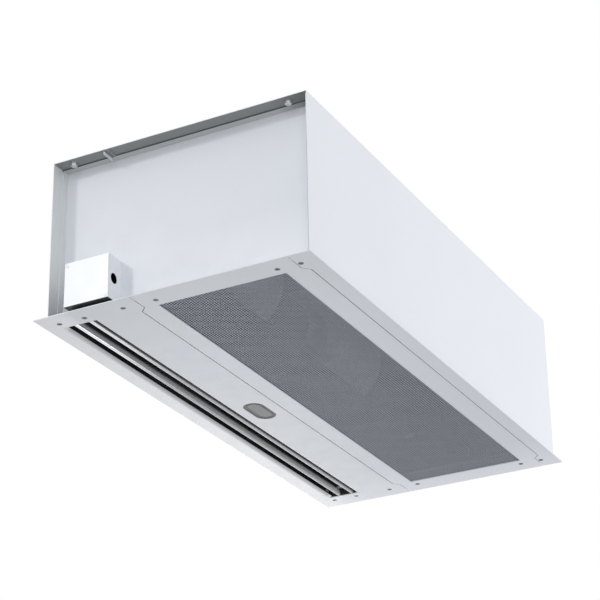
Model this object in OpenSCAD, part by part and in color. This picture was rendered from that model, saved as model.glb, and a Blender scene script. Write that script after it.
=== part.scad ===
// Recessed air curtain that hangs above a doorway, flush with the ceiling.
// +Z is up and +X points to the service end, where the junction box is.
// The origin is at the bottom centre of the ceiling flange.
// -Y is the front, where the air leaves; +Y is the rear, where it is drawn in.

/* [Cabinet] */
// Length of the cabinet, end to end
body_l = 1207; // [1150:1:1300]
// Width of the cabinet, front to rear
body_w = 579; // [560:1:620]
// Height from the flange's underside to the top of the cabinet
unit_h = 356; // [350:1:400]
// How far the flange stands out at each end
end_lip = 21.5; // [15:0.5:30]
// How far the flange stands out at the front
front_lip = 18.5; // [12:0.5:25]
// How far the flange stands out at the rear
rear_lip = 12.5; // [8:0.5:25]
// Thickness of the panels that make the flange
plate_t = 2; // [1.5:0.1:2.5]
// Thickness of the cabinet's sheet
sheet_t = 1.5; // [1.2:0.1:2]
// Depth of the recess at each end
recess_d = 47.5; // [44:0.5:54]
// Width of the end panel's flange along the top and the sides
pan_flange_w = 17; // [12:0.5:20]
// How far the foot of the end panel steps out
step_w = 15; // [12:0.5:16]
// Height of the step above the flange panels
step_h = 18; // [17.6:0.2:19]
// Width of the cabinet's turned-in bottom flanges
wall_flange_w = 11; // [8:0.5:11]

/* [Hanging points] */
// Distance of the hanging holes from the cabinet's end
hanger_inset = 17; // [16:0.5:21]
// Distance of the front hanging holes from the front wall
hanger_front = 38.5; // [25:0.5:60]
// Distance of the rear hanging holes from the rear wall
hanger_rear = 47.5; // [25:0.5:60]
// Thread radius of the hanging nuts
hanger_r = 4; // [3:0.5:5]
// Radial clearance of the hole above each nut
hanger_gap = 0.5; // [0.3:0.1:1]
// Height of a hanging nut
nut_h = 6.5; // [6:0.5:10]
// Width across the flats of a hanging nut
nut_af = 13; // [12:0.5:14]
// Distance of the folded tab from the front wall
tab_front = 119.5; // [110:0.5:130]

/* [Flange panels] */
// Width of the discharge panel, from the flange's front edge to the first seam
discharge_w = 207.5; // [200:0.5:215]
// Width of the rear trim strip
trim_w = 33; // [30:0.5:40]
// Gap at each seam
seam_gap = 2; // [1.8:0.1:3]
// How far each seam steps towards the intake at its ends
jog_w = 13.5; // [11:0.5:15]
// Border between the first seam and the perforated opening
border_front = 43; // [40:0.5:55]
// Border between the perforated opening and the second seam
border_rear = 48; // [42:0.5:55]
// Thickness of the perforated screen
screen_t = 1.2; // [0.8:0.1:1.5]
// How far the screen laps its opening along the sides
screen_lap = 12; // [8:0.5:14]
// How far the screen laps its opening at the ends
screen_end_lap = 3; // [2:0.5:4]
// Thickness of the strips that clamp the screen
retainer_t = 1.2; // [1:0.1:2]
// Width of the strips that clamp the screen
retainer_w = 10; // [6:0.5:12]
// Height of the turned-up edges of the intake panel and the trim strip
upstand_h = 8; // [6:0.5:12]

/* [Discharge slot] */
// Distance from the flange's front edge to the slot, where its rolled lip starts
slot_edge = 30; // [30:0.5:32]
// Width of the slot between the starts of its rolled lips
slot_w = 83; // [82:0.2:86]
// Outer radius of the slot's rolled lips
lip_r = 10; // [8:0.5:11]
// How far the slot's lips turn up, in degrees
lip_turn = 60; // [45:5:70]
// Distance of the front vane's middle from the slot's front edge
vane_inset = 28.65; // [28:0.05:30]
// Distance between the middles of the two vanes
vane_pitch = 34.3; // [30:0.1:35]
// Height of a vane
vane_h = 21; // [19:0.5:21.5]
// Radius of a vane's nose
nose_r = 4; // [3.6:0.1:4.6]
// Radius of a vane's upper edge
tail_r = 0.9; // [0.7:0.1:1.2]
// Height of a vane's nose above the flange's underside
vane_lift = 0.8; // [0.5:0.1:1.5]
// Running gap between a vane and the bracket at its end
vane_gap = 1; // [0.6:0.1:1.5]
// Thickness of the brackets at the slot's ends
bracket_t = 1.5; // [1:0.1:2]
// Radius of the pins on which the vanes turn
vane_pin_r = 2; // [1.6:0.1:2.2]
// Radial clearance of every pin and shaft that turns
run_gap = 0.05; // [0.03:0.01:0.09]

/* [Intake panel hinge] */
// Length of each hinge
hinge_l = 60; // [40:1:80]
// Radius of the hinge knuckles
knuckle_r = 2.5; // [2.2:0.1:2.8]
// Radius of the hinge pins
hinge_pin_r = 1.25; // [1:0.05:1.4]
// Distance of the hinge's axis in front of the discharge panel's rear edge
hinge_front = 3.5; // [3.3:0.1:4]
// Thickness of the hinge leaves
leaf_t = 1; // [0.8:0.1:1]
// Height of the rail that carries the hinges
rail_h = 30; // [26:0.5:36]

/* [Screws] */
// Shank radius of the panel screws
screw_r = 2; // [1.5:0.1:2.5]
// Head radius of the panel screws
head_r = 5.5; // [4:0.1:6]
// Length of the panel screws
screw_l = 10; // [8:0.5:14]
// Radial clearance of the captive screws in the end panels
captive_gap = 1.2; // [1:0.1:1.6]

/* [Fan deck and plenum] */
// Height of the fan deck's underside
deck_z = 118.5; // [112:0.5:122]
// Depth of the fan deck behind the front wall
deck_w = 249; // [245:1:270]
// Thickness of the plenum's sheets
liner_t = 1.2; // [1:0.1:1.5]

/* [Blowers] */
// Distance of each blower's centre from the middle
blower_x = 235; // [225:1:260]
// Width of a blower's scroll
scroll_w = 200; // [180:1:206]
// Thickness of the scroll's sheet
scroll_t = 1.2; // [1:0.1:1.5]
// Outer radius of the blower wheels
wheel_r = 76; // [70:0.5:78]
// Gap between the wheel and the scroll at the cut-off
cutoff_gap = 10; // [8:0.5:12]
// How much the scroll's radius grows with each quarter turn
scroll_growth = 15; // [12:0.5:16]
// Gap between the front wall and the scroll
scroll_front_gap = 23; // [18:0.5:30]
// Gap between the wheel and the scroll's side
wheel_side_gap = 9; // [8.5:0.5:12]
// Radial depth of the blades
blade_d = 13; // [10:0.5:16]
// Number of blades in a wheel
blade_n = 36; // [24:1:44]
// Thickness of a blade
blade_t = 1; // [0.8:0.1:1.4]
// Radius of the throat of an inlet ring
inlet_r = 60; // [54:0.5:62]
// Radius of the curve of an inlet ring
inlet_curve = 7; // [5:0.5:8]

/* [Motor] */
// Radius of the shaft
shaft_r = 6.35; // [6:0.05:7]
// Outer radius of the motor's shell
motor_r = 65; // [60:0.5:70]
// Half length of the motor's shell
motor_half = 55; // [50:0.5:60]
// Thickness of the motor's shell
motor_t = 2; // [1.5:0.1:3]
// Radial air gap between the rotor and the stator
air_gap = 0.6; // [0.4:0.1:1]
// Outer radius of the rotor
rotor_r = 37.4; // [34:0.2:40]
// Outer radius of the ball bearings
bearing_r = 16; // [14:0.5:18]
// Width of a ball bearing
bearing_w = 10; // [8:0.5:12]
// Outer radius of the rubber mounting rings
ring_r = 29; // [27:0.5:34]
// Width of a rubber mounting ring
ring_w = 10; // [8:0.5:12]
// Thickness of the cradle's sheet
cradle_t = 2.5; // [2:0.1:3]
// Radius of the capacitor
capacitor_r = 20; // [16:0.5:24]
// Length of the capacitor
capacitor_l = 70; // [50:1:90]

/* [Junction box] */
// Width of the junction box
box_w = 101.6; // [96:0.1:106]
// Height of the junction box
box_h = 94.8; // [90:0.1:106]
// Height of the junction box above the shelf of its end panel
box_lift = 3.4; // [1:0.1:6]
// Distance of the junction box from the front wall
box_front = 37.5; // [30:0.5:44]
// Wall thickness of the junction box
box_t = 1.5; // [1.2:0.1:1.8]
// Thickness of the junction box's cover
cover_t = 1.5; // [1:0.1:2]
// Radius of the conduit knockout
knockout_r = 11.1; // [10:0.1:14]
// Radius of the wiring holes
wire_hole_r = 11; // [9:0.5:13]
// Radius of the wiring loom
loom_r = 4; // [3:0.5:5]

/* [Badge] */
// Length of the badge
badge_l = 97; // [80:1:110]
// Width of the badge
badge_w = 47; // [40:1:52]
// Distance of the badge's centre from the flange's front edge
badge_y = 156.5; // [154:0.5:162]

/* [Hidden] */
$fn = 64;
eps = 0.01;
cut = 1;
// Gap left between sheets that are put together
fit_gap = 0.5;

// Cabinet
flange_l = body_l + 2 * end_lip;
flange_w = body_w + front_lip + rear_lip;
flange_front = -flange_w / 2;
flange_rear = flange_w / 2;
front_y = flange_front + front_lip;
rear_y = flange_rear - rear_lip;
front_in = front_y + sheet_t;
rear_in = rear_y - sheet_t;
end_x = body_l / 2;
web_x = end_x - recess_d;
web_in = web_x - sheet_t;
top_in = unit_h - sheet_t;
step_x = web_x + step_w;
step_in = step_x - sheet_t;
shelf_z = plate_t + step_h;
shelf_top = shelf_z + sheet_t;
hanger_x = end_x - hanger_inset;
hanger_ys = [front_y + hanger_front, rear_y - hanger_rear];
tab_y = front_y + tab_front;
tab_inset = 1;
tab_l = 32;
tab_w = 12;
tab_h = 8;

// Flange panels
seam1_y = flange_front + discharge_w;
seam2_y = flange_rear - trim_w;
half_gap = seam_gap / 2;
screen_hx = step_in - fit_gap;
open_hx = screen_hx - screen_end_lap;
open_y0 = seam1_y + border_front;
open_y1 = seam2_y - border_rear;
discharge_rear = seam1_y - half_gap;
intake_front = seam1_y + half_gap;
intake_rear = seam2_y - half_gap;
trim_front = seam2_y + half_gap;
upstand_inset = 12;
front_upstand_y = intake_front + upstand_inset;
upstand_hx = web_in - fit_gap;
retainer_inset = 6;
retainer_hx = web_in - retainer_inset;

// Screws
screw_x = (step_x + end_x) / 2;
slot_y0 = flange_front + slot_edge;
slot_y1 = slot_y0 + slot_w;
discharge_screw_ds = [36.5, 94.5, 183.5];
discharge_screw_ys = [for (d = discharge_screw_ds) flange_front + d];
screw_inset = 7;
intake_screw_ys = [open_y0 + screw_inset, open_y1 - screw_inset];
trim_screw_ys = [trim_front - jog_w + screw_inset];
clip_t = 2;
clip_r = 7;
head_gap = 0.1;
head_h = plate_t - 3 * head_gap;
socket_d = 1;
slot_blade = 0.9;
shank_gap = 0.2;

// Slot and vanes
slot_hx = step_in - bracket_t;
vane_ys = [slot_y0 + vane_inset, slot_y0 + vane_inset + vane_pitch];
vane_hx = slot_hx - vane_gap;
vane_pivot_z = vane_lift + vane_h / 2;
vane_notch_gap = 2.5;
vane_notch_z = shelf_z - vane_notch_gap;
vane_notch_x = web_in - vane_notch_gap;
vane_pin_seat = 7;
pin_end_gap = 0.2;
bracket_side_gap = 0.3;
lip_steps = 8;

// Clearance of the loom in its bushes and of its ends
loom_gap = 0.3;

// Badge
badge_mid = flange_front + badge_y;
badge_lap = 4;
badge_lift = 0.2;
badge_gap = 0.15;
badge_rim = 3;
badge_back_t = 1;
badge_groove_d = 0.5;
badge_pocket_d = 1;
badge_steps = 24;
inlay_rim = 9;
inlay_lift = 0.4;
inlay_t = 0.6;

// Hinges and their rail
hinge_y = discharge_rear - hinge_front;
knuckle_lift = 0.1;
hinge_z = plate_t + knuckle_r + knuckle_lift;
hinge_xs = [-body_l / 3, 0, body_l / 3];
knuckle_n = 5;
knuckle_gap = 0.3;
knuckle_l = hinge_l / knuckle_n;
knuckle_w = knuckle_l - knuckle_gap;
swing_gap = 0.4;
leaf_y = hinge_y - knuckle_r;
leaf_foot_z = plate_t - hinge_z;
leaf_rise = 3;
leaf_step = 1;
pin_over = 1;
rail_clear = 1;
rail_foot_y = badge_mid + badge_w / 2 + badge_lap + rail_clear;
rail_top_z = plate_t + rail_h;
// The moving leaf arches over the discharge panel's edge, clear of it through the swing
arch_y = norm([hinge_front, hinge_z]) + swing_gap;
arch_z = hinge_front + swing_gap;

// Fan deck and plenum
deck_top = deck_z + sheet_t;
deck_rear = front_in + deck_w;
deck_flange_h = 12;
deck_flange_x = web_in - sheet_t;
liner_hx = deck_flange_x - fit_gap;
liner_rise = 14;
liner_foot = 10;
liner_top_foot = 12;

// Scrolls: four quarter arcs about the corners of a small square
corner = scroll_growth / 2;
r_start = wheel_r + cutoff_gap;
r_low = r_start + scroll_growth;
r_rear = r_low + scroll_growth;
r_top = r_rear + scroll_growth;
shaft_y = front_in + scroll_front_gap + scroll_t + r_top + corner;
scroll_seat = 0.3;
shaft_z = deck_top + scroll_seat + scroll_t + r_low - corner;
outlet_front = -corner - r_top;
cutoff_angle = 35;
outlet_rear = corner - r_start * sin(cutoff_angle);
outlet_floor = deck_top - shaft_z;
scroll_x0 = blower_x - scroll_w / 2;
scroll_x1 = blower_x + scroll_w / 2;
outlet_x0 = scroll_x0 + scroll_t;
outlet_x1 = scroll_x1 - scroll_t;
wheel_x0 = outlet_x0 + wheel_side_gap;
wheel_x1 = outlet_x1 - wheel_side_gap;
wheel_ring_w = 5;
wheel_ring_t = 3;
hub_r = 14;
hub_half = 14;
disc_t = 1.5;
end_inset = 0.6;
blade_r = 14;
blade_lead = 4;
blade_steps = 5;
ring_flange_w = 8;
ring_hole_gap = 0.2;
set_screw_r = 3;
set_screw_gap = 0.1;
set_screw_sink = 0.5;

// Motor
shaft_over = 12;
shaft_half = blower_x + hub_half + shaft_over;
bell_t = 3;
bell_depth = 18;
bell_x = motor_half + bell_depth;
bell_dish = 8;
neck_r = 21;
bell_bore_gap = 2;
seat_lip = 1;
bearing_x = bell_x - bearing_w - seat_lip;
ring_offset = 4;
ring_x = bell_x + ring_offset;
neck_x = ring_x + ring_w + seat_lip;
core_half = 30;
rotor_over = 2;
winding_x = 45;
lead_x = (winding_x + motor_half) / 2;
stator_in = rotor_r + air_gap;
winding_gap_in = 3;
winding_gap_out = 5;
winding_r0 = stator_in + winding_gap_in;
winding_r1 = motor_r - motor_t - winding_gap_out;
bolt_edge = 2.4;
bolt_circle = motor_r - motor_t - bolt_edge;
bolt_r = 2;
bolt_head_r = 3.8;
bolt_head_h = 3;
bolt_head_x = bell_x - bell_dish * (bolt_circle - bolt_head_r - neck_r) / (motor_r - neck_r);
arm_x = ring_x + (ring_w - cradle_t) / 2;
arm_margin = 11;
arm_half_w = ring_r + arm_margin;
cradle_foot_w = 14;
cradle_bolt_r = 3;
cradle_bolt_h = 4;
cradle_bolt_af = 10;
cradle_bolt_xs = [-arm_x / 2, arm_x / 2];
cradle_bolt_ys = [shaft_y - arm_half_w + cradle_bolt_af, shaft_y + arm_half_w - cradle_bolt_af];
clamp_t = 1.5;
clamp_ear = 9;
capacitor_x = 400;
capacitor_dy = 40;
capacitor_y = shaft_y + capacitor_dy;
capacitor_tabs = [-7, 7];
capacitor_tab_r = 1.6;
capacitor_tab_l = 8;
clip_sheet = 1.2;
clip_ear = 12;
strap_w = 18;

// Junction box
box_y0 = front_y + box_front;
box_y1 = box_y0 + box_w;
box_mid = box_y0 + box_w / 2;
box_z0 = shelf_top + box_lift;
box_z1 = box_z0 + box_h;
box_zm = box_z0 + box_h / 2;
cover_x = end_x - cover_t;
knockout_dx = 3;
knockout_x = (web_x + end_x) / 2 + knockout_dx;
box_lug = 10;
cover_screw_inset = 6;
cover_screw_l = 10;
cover_head_r = 3.6;
cover_head_h = 1.2;
cover_slot_l = 5;
tap_over = 2;
cover_screw_spots = [[box_y0 + cover_screw_inset, box_z1 - cover_screw_inset],
    [box_y1 - cover_screw_inset, box_z0 + cover_screw_inset]];
grommet_lip = 3;
grommet_t = 1.5;
block_w = 40;
block_h = 18;
block_d = 16;
block_lift = 10.6;
block_z = box_z0 + block_lift;
deck_hole_inset = 22;
deck_hole_x = web_in - deck_hole_inset;
terminal_n = 4;
terminal_r = 2.4;
terminal_wire_d = 4;
terminal_screw_d = 6;
earth_dy = 18;
earth_dz = 18.6;
earth_y = box_y0 + earth_dy;
earth_z = box_z0 + earth_dz;
earth_r = 2.5;
earth_l = 6;
earth_head_r = 4.6;
earth_head_h = 3;

// Loom: points from the terminal block to the motor, chosen by hand
loom_points = [
    [web_x + 13, box_mid, block_z + block_h + loom_gap],
    [web_x + 13, box_mid, block_z + block_h + 4],
    [web_x + 14, box_mid, box_zm - 8],
    [web_x + 9, box_mid, box_zm - 1],
    [web_x, box_mid, box_zm],
    [web_x - 12, box_mid, box_zm],
    [deck_hole_x + 2, box_mid, box_zm + 6],
    [deck_hole_x, box_mid, box_zm + 18],
    [deck_hole_x, box_mid, deck_z],
    [deck_hole_x, box_mid, deck_top + 8],
    [deck_hole_x - 8, box_mid - 10, deck_top + 14],
    [deck_hole_x - 40, front_in + 16, deck_top + 8],
    [deck_hole_x - 90, front_in + 11.5, deck_top + 7],
    [scroll_x1, front_in + 11.5, deck_top + 7],
    [scroll_x0, front_in + 11.5, deck_top + 7],
    [scroll_x0 - 40, front_in + 18, deck_top + 16],
    [lead_x + 18, front_in + 40, shaft_z - 50],
    [lead_x, shaft_y - motor_r - 22, shaft_z - 8],
    [lead_x, shaft_y - motor_r - 8, shaft_z],
    [lead_x, shaft_y - motor_r + motor_t / 2, shaft_z]
];
loom_sides = 8;
loom_steps = 4;

// ---- Helpers ----

// A box between two corners, given as ranges along X, Y and Z
module block(x, y, z) {
    translate([x[0], y[0], z[0]]) cube([x[1] - x[0], y[1] - y[0], z[1] - z[0]]);
}

// A profile drawn in Y and Z, extruded along X
module along_x(x0, x1) {
    translate([x0, 0, 0]) rotate([90, 0, 90]) linear_extrude(x1 - x0) children();
}

// A profile turned about the shaft's line, drawn with its radius along X and its length along Y
module about_x() {
    rotate([90, 0, 90]) rotate_extrude() children();
}

// A round bar or bore along X
module rod_x(r, x0, x1) {
    translate([x0, 0, 0]) rotate([0, 90, 0]) cylinder(r = r, h = x1 - x0);
}

module at_shaft() {
    translate([0, shaft_y, shaft_z]) children();
}

// The piece itself and its mirror image at the other end
module both_ends() {
    children();
    mirror([1, 0, 0]) children();
}

function unit(v) = v / norm(v);
function left_of(v) = [-v[1], v[0]];
function before(pts, i) = i > 0 ? unit(pts[i] - pts[i - 1]) : unit(pts[1] - pts[0]);
function after(pts, i) = i < len(pts) - 1 ? unit(pts[i + 1] - pts[i]) : before(pts, i);
function offset_point(pts, i, t) =
    let (n = unit(left_of(before(pts, i)) + left_of(after(pts, i))))
    pts[i] + n * t / (n * left_of(before(pts, i)));

// The section of a bent sheet: a line of bends, thickened to its left
module bent_sheet(pts, t) {
    polygon(concat(pts, [for (i = [len(pts) - 1:-1:0]) offset_point(pts, i, t)]));
}

// One side of a seam, with its steps near the ends
function seam_line(y, jog) = [
    [-flange_l / 2, y + jog], [-web_x - jog_w, y + jog], [-web_x, y],
    [web_x, y], [web_x + jog_w, y + jog], [flange_l / 2, y + jog]
];
function reversed(v) = [for (i = [len(v) - 1:-1:0]) v[i]];

module countersunk_hole(x, y) {
    translate([x, y, -eps]) {
        cylinder(r = screw_r + shank_gap, h = plate_t + 2 * eps);
        cylinder(r1 = head_r + 3 * head_gap, r2 = screw_r + shank_gap, h = head_h + head_gap);
    }
}

module panel_screw(x, y) {
    translate([x, y, head_gap / 2]) difference() {
        union() {
            cylinder(r1 = head_r, r2 = screw_r, h = head_h);
            cylinder(r = screw_r, h = screw_l);
        }
        for (turn = [20, 110]) rotate(turn) translate([0, 0, socket_d / 2 - eps])
            cube([head_r, slot_blade, socket_d], center = true);
    }
}

module screws_at(ys) {
    both_ends() for (y = ys) panel_screw(screw_x, y);
}

function arc(centre, r, a0, a1, n) =
    [for (i = [0:n]) let (a = a0 + (a1 - a0) * i / n) centre + r * [cos(a), sin(a)]];

// The badge's outline, drawn in by some distance: straight long sides and round ends
module badge_outline(inset) {
    r = badge_w / 2 - inset;
    reach = (badge_l - badge_w) / 2;
    polygon(concat(arc([reach, 0], r, -90, 90, badge_steps), arc([-reach, 0], r, 90, 270, badge_steps)));
}

// ---- Cabinet ----

module cabinet_shell() {
    color("whitesmoke") difference() {
        along_x(-end_x, end_x) bent_sheet([
            [front_y + wall_flange_w, plate_t], [front_y, plate_t], [front_y, unit_h],
            [rear_y, unit_h], [rear_y, plate_t], [rear_y - wall_flange_w, plate_t]], -sheet_t);
        both_ends() for (y = hanger_ys) translate([hanger_x, y, top_in - cut])
            cylinder(r = hanger_r + hanger_gap, h = sheet_t + 2 * cut);
    }
}

// The recessed end: a pan with its flanges turned out and a step at its foot
module end_pan() {
    y0 = front_in;
    y1 = rear_in;
    difference() {
        union() {
            block([web_in, web_x], [y0, y1], [shelf_z, top_in]);
            block([web_in, step_x], [y0, y1], [shelf_z, shelf_top]);
            block([step_in, step_x], [y0, y1], [plate_t + sheet_t, shelf_top]);
            block([step_in, end_x], [y0 + wall_flange_w, y1 - wall_flange_w], [plate_t, plate_t + sheet_t]);
            block([step_in, end_x], [y0, y1], [plate_t + sheet_t, plate_t + 2 * sheet_t]);
            block([web_in, web_x + pan_flange_w], [y0, y1], [top_in - sheet_t, top_in]);
            block([web_in, web_x + pan_flange_w], [y0, y0 + sheet_t], [shelf_z, top_in]);
            block([web_in, web_x + pan_flange_w], [y1 - sheet_t, y1], [shelf_z, top_in]);
        }
        for (y = concat(discharge_screw_ys, trim_screw_ys)) translate([screw_x, y, 0])
            cylinder(r = screw_r, h = shelf_z);
        for (y = intake_screw_ys) translate([screw_x, y, 0])
            cylinder(r = screw_r + captive_gap, h = shelf_z);
    }
}

module end_panel_service() {
    color("gainsboro") difference() {
        end_pan();
        translate([0, box_mid, box_zm]) rod_x(wire_hole_r, web_in - cut, web_x + cut);
    }
}

module end_panel_blank() {
    color("gainsboro") mirror([1, 0, 0]) end_pan();
}

module hanger_nuts() {
    color("silver") both_ends() for (y = hanger_ys) translate([hanger_x, y, top_in - nut_h]) difference() {
        cylinder(d = nut_af / cos(30), h = nut_h, $fn = 6);
        translate([0, 0, -cut]) cylinder(r = hanger_r, h = nut_h + 2 * cut);
    }
}

module cable_tab() {
    color("lightgray") {
        x = [end_x - tab_inset - tab_l, end_x - tab_inset];
        z = top_in - sheet_t;
        block([web_x + pan_flange_w + fit_gap, x[1]], [tab_y, tab_y + tab_w], [z, top_in]);
        block(x, [tab_y, tab_y + sheet_t], [z - tab_h, z]);
    }
}

// ---- Flange panels ----

// The rolled lip along the slot's front side, in section
module lip_section() {
    polygon(concat(arc([0, lip_r], lip_r, -90, lip_turn - 90, lip_steps),
        arc([0, lip_r], lip_r - plate_t, lip_turn - 90, -90, lip_steps)));
}

module discharge_panel() {
    color("lightgray") difference() {
        union() {
            difference() {
                linear_extrude(plate_t) polygon(concat(
                    [[flange_l / 2, flange_front], [-flange_l / 2, flange_front]],
                    seam_line(discharge_rear, jog_w)));
                block([-slot_hx, slot_hx], [slot_y0, slot_y1], [-cut, plate_t + cut]);
            }
            along_x(-slot_hx, slot_hx) {
                translate([slot_y0, 0]) lip_section();
                translate([slot_y1, 0]) mirror([1, 0]) lip_section();
            }
        }
        for (x = [-screw_x, screw_x], y = discharge_screw_ys) countersunk_hole(x, y);
        translate([0, badge_mid, -cut]) linear_extrude(plate_t + 2 * cut) badge_outline(-badge_gap);
    }
}

module intake_panel() {
    color("lightgray") difference() {
        union() {
            linear_extrude(plate_t) polygon(concat(
                seam_line(intake_front, jog_w),
                reversed(seam_line(intake_rear, -jog_w))));
            block([-upstand_hx, upstand_hx], [front_upstand_y, front_upstand_y + sheet_t],
                [plate_t - eps, plate_t + upstand_h]);
            block([-upstand_hx, upstand_hx], [intake_rear - sheet_t, intake_rear],
                [plate_t - eps, plate_t + upstand_h]);
        }
        block([-open_hx, open_hx], [open_y0, open_y1], [-cut, plate_t + cut]);
        for (x = [-screw_x, screw_x], y = intake_screw_ys) countersunk_hole(x, y);
    }
}

module intake_screen() {
    color("slategray") block([-screen_hx, screen_hx], [open_y0 - screen_lap, open_y1 + screen_lap],
        [plate_t, plate_t + screen_t]);
}

module screen_retainers() {
    z = plate_t + screen_t;
    color("silver") for (y = [open_y0 - screen_lap, open_y1 + screen_lap - retainer_w])
        block([-retainer_hx, retainer_hx], [y, y + retainer_w], [z, z + retainer_t]);
}

module rear_trim_strip() {
    color("lightgray") difference() {
        union() {
            linear_extrude(plate_t) polygon(concat(
                seam_line(trim_front, -jog_w),
                [[flange_l / 2, flange_rear], [-flange_l / 2, flange_rear]]));
            block([-upstand_hx, upstand_hx], [trim_front, trim_front + sheet_t],
                [plate_t - eps, plate_t + upstand_h]);
        }
        for (x = [-screw_x, screw_x], y = trim_screw_ys) countersunk_hole(x, y);
    }
}

module discharge_screws() {
    color("darkgray") screws_at(discharge_screw_ys);
}

module trim_screws() {
    color("darkgray") screws_at(trim_screw_ys);
}

module intake_screws() {
    color("darkgray") screws_at(intake_screw_ys);
}

module screw_clips() {
    z = plate_t + 2 * sheet_t;
    color("dimgray") both_ends() for (y = intake_screw_ys) translate([screw_x, y, z]) difference() {
        cylinder(r = clip_r, h = clip_t);
        translate([0, 0, -cut]) cylinder(r = screw_r + captive_gap / 2, h = clip_t + 2 * cut);
    }
}

// ---- Intake panel hinge ----

module hinge_rail() {
    color("silver") along_x(-web_in, web_in) bent_sheet([
        [rail_foot_y, plate_t], [leaf_y, plate_t], [leaf_y, rail_top_z],
        [rail_foot_y, rail_top_z]], sheet_t);
}

function knuckle_x(i) = -hinge_l / 2 + i * knuckle_l + knuckle_gap / 2;

// Every second knuckle of a hinge, from the first or from the second
module knuckles(first) {
    for (i = [first:2:knuckle_n - 1]) rod_x(knuckle_r, knuckle_x(i), knuckle_x(i) + knuckle_w);
}

module fixed_hinge_leaves() {
    color("silver") for (hx = hinge_xs) translate([hx, hinge_y, hinge_z]) difference() {
        y = [leaf_y - hinge_y, leaf_y - hinge_y + leaf_t];
        union() {
            knuckles(0);
            for (i = [0:2:knuckle_n - 1])
                block([knuckle_x(i), knuckle_x(i) + knuckle_w], y, [0, knuckle_r + leaf_rise]);
            block([-hinge_l / 2, hinge_l / 2], y, [arch_z + leaf_t + leaf_step, rail_top_z - hinge_z]);
        }
        rod_x(hinge_pin_r, -hinge_l, hinge_l);
    }
}

module moving_hinge_leaves() {
    foot_rear = front_upstand_y - hinge_y;
    color("silver") for (hx = hinge_xs) translate([hx, hinge_y, hinge_z]) difference() {
        union() {
            knuckles(1);
            for (i = [1:2:knuckle_n - 1]) along_x(knuckle_x(i), knuckle_x(i) + knuckle_w)
                bent_sheet([[leaf_t / 2, 0], [leaf_t / 2, arch_z], [arch_y, arch_z],
                    [arch_y, leaf_foot_z], [foot_rear, leaf_foot_z]], leaf_t);
            block([-hinge_l / 2, hinge_l / 2], [arch_y + leaf_t + leaf_step, foot_rear],
                [leaf_foot_z, leaf_foot_z + leaf_t]);
        }
        rod_x(hinge_pin_r + run_gap, -hinge_l, hinge_l);
    }
}

module hinge_pins() {
    color("gray") for (hx = hinge_xs) translate([hx, hinge_y, hinge_z])
        rod_x(hinge_pin_r, -hinge_l / 2 - pin_over, hinge_l / 2 + pin_over);
}

// ---- Badge ----

module badge() {
    color("gray") translate([0, badge_mid, 0]) difference() {
        union() {
            translate([0, 0, badge_lift]) linear_extrude(plate_t - badge_lift + eps) badge_outline(0);
            translate([0, 0, plate_t]) linear_extrude(badge_back_t) badge_outline(-badge_lap);
        }
        translate([0, 0, -cut]) linear_extrude(cut + badge_lift + badge_groove_d) difference() {
            badge_outline(badge_rim);
            badge_outline(2 * badge_rim);
        }
        translate([0, 0, -cut]) linear_extrude(cut + badge_lift + badge_pocket_d)
            badge_outline(inlay_rim - badge_gap);
    }
}

module badge_inlay() {
    color("darkslategray") translate([0, badge_mid, badge_lift + inlay_lift]) linear_extrude(inlay_t)
        badge_outline(inlay_rim);
}

// ---- Plenum ----

module nozzle_front_wall() {
    y = front_in + liner_t;
    z = plate_t + sheet_t;
    color("dimgray") along_x(-liner_hx, liner_hx) bent_sheet([
        [y, z], [slot_y0, z], [slot_y0, liner_rise], [y, deck_z / 2], [y, deck_z - deck_flange_h]], liner_t);
}

module plenum_rear_wall() {
    color("dimgray") along_x(-liner_hx, liner_hx) bent_sheet([
        [slot_y1 + liner_foot, plate_t], [slot_y1, plate_t], [slot_y1, liner_rise],
        [deck_rear - liner_top_foot, deck_z], [deck_rear, deck_z]], -liner_t);
}

// ---- Vanes ----

module vane_brackets() {
    y = [slot_y0 + bracket_side_gap, slot_y1 - bracket_side_gap];
    color("silver") both_ends() difference() {
        block([slot_hx, step_in], y, [plate_t, shelf_z - fit_gap]);
        for (vy = vane_ys) translate([0, vy, vane_pivot_z])
            rod_x(vane_pin_r + run_gap, slot_hx - cut, step_in + cut);
    }
}

// The section of a vane about its nose's centre: a round nose, flat flanks and a thin round tail
module vane_section() {
    reach = vane_h - nose_r - tail_r;
    lean = asin((nose_r - tail_r) / reach);
    circle(r = nose_r);
    translate([0, reach]) circle(r = tail_r);
    polygon([
        [nose_r * cos(lean), nose_r * sin(lean)], [tail_r * cos(lean), reach + tail_r * sin(lean)],
        [-tail_r * cos(lean), reach + tail_r * sin(lean)], [-nose_r * cos(lean), nose_r * sin(lean)]]);
}

module vane(y) {
    difference() {
        along_x(-vane_hx, vane_hx) translate([y, vane_lift + nose_r]) vane_section();
        both_ends() block([vane_notch_x, vane_hx + cut], [y - 2 * nose_r, y + 2 * nose_r],
            [vane_notch_z, shelf_z + vane_h]);
        both_ends() translate([0, y, vane_pivot_z]) rod_x(vane_pin_r, vane_hx - vane_pin_seat, vane_hx + cut);
    }
}

module vane_pins(y) {
    both_ends() translate([0, y, vane_pivot_z])
        rod_x(vane_pin_r, vane_hx - vane_pin_seat, step_in - pin_end_gap);
}

module front_vane() {
    color("gainsboro") vane(vane_ys[0]);
}

module rear_vane() {
    color("gainsboro") vane(vane_ys[1]);
}

module front_vane_pins() {
    color("gray") vane_pins(vane_ys[0]);
}

module rear_vane_pins() {
    color("gray") vane_pins(vane_ys[1]);
}

// ---- Fan deck and scrolls ----

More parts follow.
